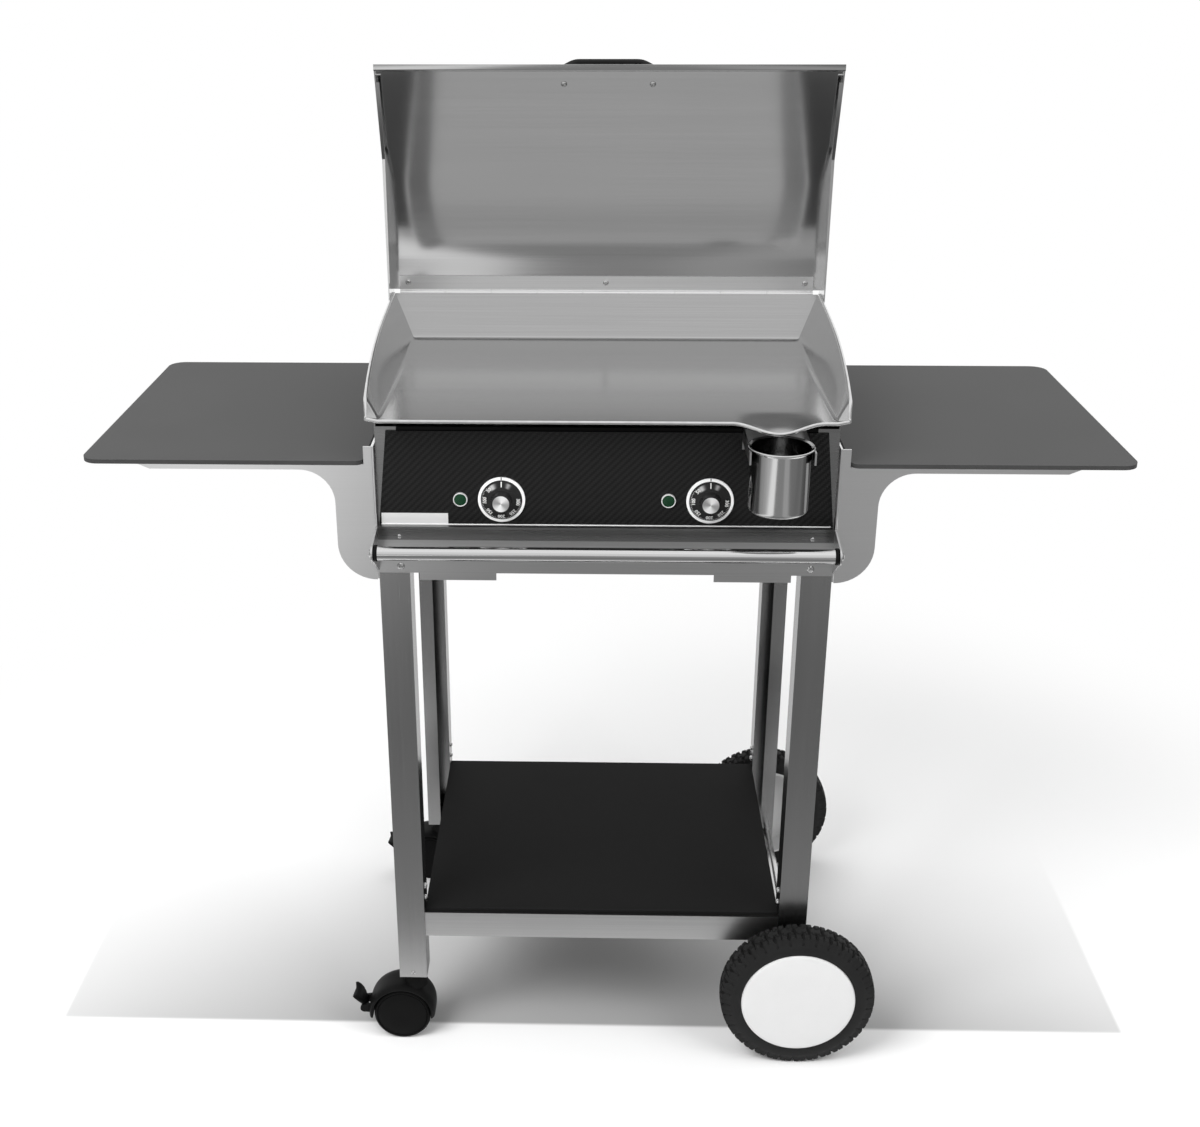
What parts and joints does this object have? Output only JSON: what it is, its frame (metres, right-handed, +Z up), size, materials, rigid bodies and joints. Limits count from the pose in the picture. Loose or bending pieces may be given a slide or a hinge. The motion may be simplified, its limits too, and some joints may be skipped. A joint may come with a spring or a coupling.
{
  "type": "electric griddle trolley",
  "caption": "Electric griddle on a wheeled trolley with a hinged lid, two dials, a grease cup, side shelves, a towel bar and a lower shelf.",
  "frame": {"origin": "on the floor, under the centre of the whole object seen from above, lid open", "axes": "+Z up, +X to the right of a person facing the dials, +Y away from that person"},
  "size_m": [1.204, 0.551, 1.2299],
  "materials": {
    "stainless_plate": "satin stainless cooking plate",
    "brushed_sheet": "brushed stainless sheet, fairly reflective",
    "steel_tube": "polished stainless bar",
    "zinc_steel": "zinc-plated steel",
    "panel_black": "black control panel with a fine woven print",
    "heater_sheath": "oxidised heater sheath",
    "phenolic": "phenolic switch body",
    "ring_white": "plain white",
    "bezel_chrome": "bright bezel",
    "lamp_green": "unlit green lens",
    "ceramic": "ceramic",
    "black_plastic": "black moulded plastic",
    "cap_metal": "spun aluminium cap",
    "laminate": "dark grey compact laminate",
    "tyre_rubber": "black rubber with a block tread",
    "hub_white": "white wheel disc",
    "caster_tread": "dark rubber"
  },
  "bodies": {
    "trolley": {"griddle_plate": "stainless_plate", "casing": "brushed_sheet", "control_panel": "panel_black", "base_pan": "zinc_steel", "heating_elements": "heater_sheath", "element_clamps": "zinc_steel", "thermostats": "phenolic", "dial_rings": "ring_white", "lamp_bezels": "bezel_chrome", "lamp_lenses": "lamp_green", "terminal_block": "ceramic", "cable_gland": "black_plastic", "nameplate": "ring_white", "cup_holder": "brushed_sheet", "hinge_leaf_plate": "brushed_sheet", "hinge_pin": "steel_tube", "leg_front_left": "brushed_sheet", "leg_front_right": "brushed_sheet", "leg_rear_left": "brushed_sheet", "leg_rear_right": "brushed_sheet", "front_apron": "brushed_sheet", "rear_apron": "brushed_sheet", "side_rails": "brushed_sheet", "towel_bar": "steel_tube", "bar_caps": "black_plastic", "bar_screws": "zinc_steel", "lower_shelf": "laminate", "lower_rail_front": "brushed_sheet", "lower_rail_rear": "brushed_sheet", "side_shelf_left": "laminate", "side_shelf_right": "laminate", "gussets_left": "brushed_sheet", "gussets_right": "brushed_sheet", "frame_bolts": "zinc_steel", "axle": "steel_tube", "caster_sockets": "black_plastic"},
    "lid": {"lid_sheet": "brushed_sheet", "lid_cheek_left": "brushed_sheet", "lid_cheek_right": "brushed_sheet", "lid_handle": "black_plastic", "lid_screws": "zinc_steel", "hinge_leaf_lid": "brushed_sheet"},
    "dial left": {"knob_shaft_left": "steel_tube", "knob_skirt_left": "black_plastic", "knob_cap_left": "cap_metal"},
    "dial right": {"knob_shaft_right": "steel_tube", "knob_skirt_right": "black_plastic", "knob_cap_right": "cap_metal"},
    "grease cup": {"grease_cup": "brushed_sheet"},
    "wheel front": {"tyre_front": "tyre_rubber", "hub_front": "hub_white"},
    "wheel rear": {"tyre_rear": "tyre_rubber", "hub_rear": "hub_white"},
    "caster front": {"caster_hood_front": "black_plastic"},
    "caster front wheels": {"caster_wheels_front": "caster_tread"},
    "brake front": {"brake_lever_front": "black_plastic"},
    "caster rear": {"caster_hood_rear": "black_plastic"},
    "caster rear wheels": {"caster_wheels_rear": "caster_tread"},
    "brake rear": {"brake_lever_rear": "black_plastic"}
  },
  "joints": [
    {"name": "lid_hinge", "type": "hinge", "parent": "trolley", "child": "lid", "pos_m": [0, 0.1895, 0.929], "axis": [1, 0, 0], "range_deg": [0, 75]},
    {"name": "dial_left_turn", "type": "hinge", "parent": "trolley", "child": "dial left", "pos_m": [-0.12, -0.173, 0.7705], "axis": [0, 1, 0], "range_deg": [0, 280]},
    {"name": "dial_right_turn", "type": "hinge", "parent": "trolley", "child": "dial right", "pos_m": [0.12, -0.173, 0.7705], "axis": [0, 1, 0], "range_deg": [0, 280]},
    {"name": "cup_slide", "type": "slide", "parent": "trolley", "child": "grease cup", "axis": [0, -1, 0], "range_m": [0, 0.07]},
    {"name": "wheel_front_spin", "type": "hinge", "parent": "trolley", "child": "wheel front", "pos_m": [0.255, -0.1835, 0.1], "axis": [0, 1, 0], "continuous": true},
    {"name": "wheel_rear_spin", "type": "hinge", "parent": "trolley", "child": "wheel rear", "pos_m": [0.255, 0.2325, 0.1], "axis": [0, 1, 0], "continuous": true},
    {"name": "caster_front_swivel", "type": "hinge", "parent": "trolley", "child": "caster front", "pos_m": [-0.247, -0.161, 0.098], "axis": [0, 0, 1], "continuous": true},
    {"name": "caster_front_roll", "type": "hinge", "parent": "caster front", "child": "caster front wheels", "pos_m": [-0.264, -0.161, 0.038], "axis": [0, 1, 0], "continuous": true},
    {"name": "brake_front_press", "type": "hinge", "parent": "caster front", "child": "brake front", "pos_m": [-0.316, -0.161, 0.041], "axis": [0, -1, 0], "range_deg": [0, 20]},
    {"name": "caster_rear_swivel", "type": "hinge", "parent": "trolley", "child": "caster rear", "pos_m": [-0.247, 0.21, 0.098], "axis": [0, 0, 1], "continuous": true},
    {"name": "caster_rear_roll", "type": "hinge", "parent": "caster rear", "child": "caster rear wheels", "pos_m": [-0.264, 0.21, 0.038], "axis": [0, 1, 0], "continuous": true},
    {"name": "brake_rear_press", "type": "hinge", "parent": "caster rear", "child": "brake rear", "pos_m": [-0.316, 0.21, 0.041], "axis": [0, -1, 0], "range_deg": [0, 20]}
  ]
}
